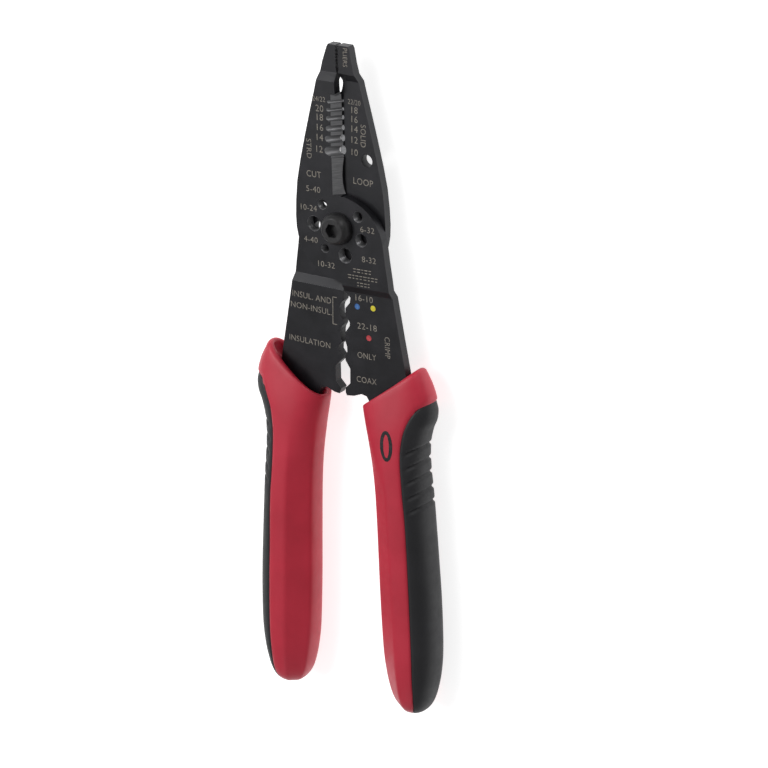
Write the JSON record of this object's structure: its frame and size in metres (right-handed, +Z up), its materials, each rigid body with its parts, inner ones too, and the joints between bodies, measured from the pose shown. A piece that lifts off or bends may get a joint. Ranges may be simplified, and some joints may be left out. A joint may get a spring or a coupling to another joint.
{
  "type": "wire stripper",
  "caption": "Hinged wire stripper and crimper with a serrated plier nose, stripping grooves, screw-cutting holes, crimp nests and two-tone cushioned grips.",
  "frame": {"origin": "bottom centre of the tool's box as it lies on its grips, at the rest opening", "axes": "+X to the right across the tool, +Y along it towards the nose, +Z up out of the printed faces, along the pivot"},
  "size_m": [0.0636, 0.2096, 0.0159],
  "materials": {
    "black_steel": "satin",
    "screw_steel": "satin",
    "red_grip": "satin",
    "black_grip": "matte",
    "blue_enamel": "gloss",
    "yellow_enamel": "gloss",
    "red_enamel": "gloss"
  },
  "bodies": {
    "front_half": {"front_plate": "black_steel", "pivot_screw": "screw_steel", "pivot_washer": "screw_steel", "pivot_nut": "screw_steel", "right_grip_core": "red_grip", "right_grip_skin": "black_grip", "blue_dot": "blue_enamel", "yellow_dot": "yellow_enamel", "red_dot": "red_enamel"},
    "rear_half": {"rear_plate": "black_steel", "left_grip_core": "red_grip", "left_grip_skin": "black_grip"}
  },
  "joints": [
    {"name": "jaw_hinge", "type": "hinge", "parent": "front_half", "child": "rear_half", "pos_m": [0, 0.04913, 0.00794], "axis": [0, 0, -1], "range_deg": [-0.3, 30]}
  ]
}
